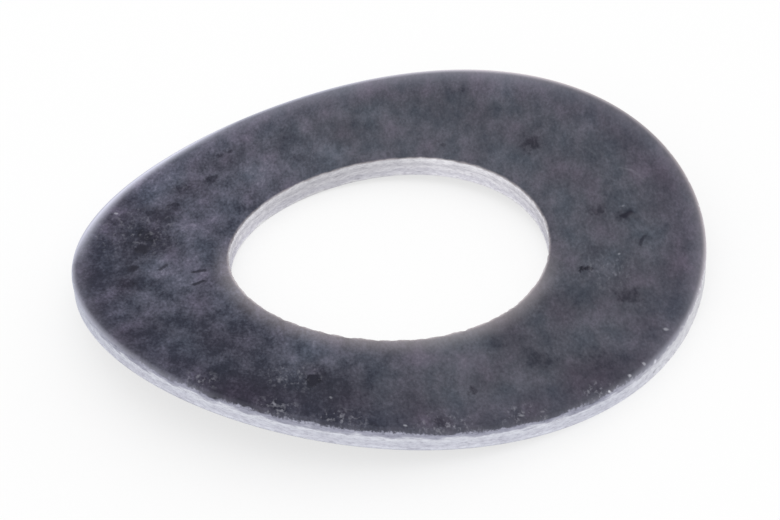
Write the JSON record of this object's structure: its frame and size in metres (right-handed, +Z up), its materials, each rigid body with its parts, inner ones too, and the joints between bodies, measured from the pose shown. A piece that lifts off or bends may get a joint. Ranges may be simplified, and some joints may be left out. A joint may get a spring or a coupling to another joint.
{
  "type": "curved spring washer",
  "caption": "Round spring washer punched from steel strip and bowed about one axis, so that it springs between a bolt head or nut and the face below.",
  "frame": {"origin": "centre of the hole, at the height of the surface that the washer lies on", "axes": "+Z up along the hole, out of the hollow side; X along the valley of the bow; the two raised tips are at +Y and -Y"},
  "size_m": [0.0254, 0.0254, 0.0026],
  "materials": {
    "spring_steel": "satin blue-grey temper oxide on the faces, bare light grey metal on the punched walls"
  },
  "bodies": {
    "root": {"washer": "spring_steel"}
  },
  "joints": []
}
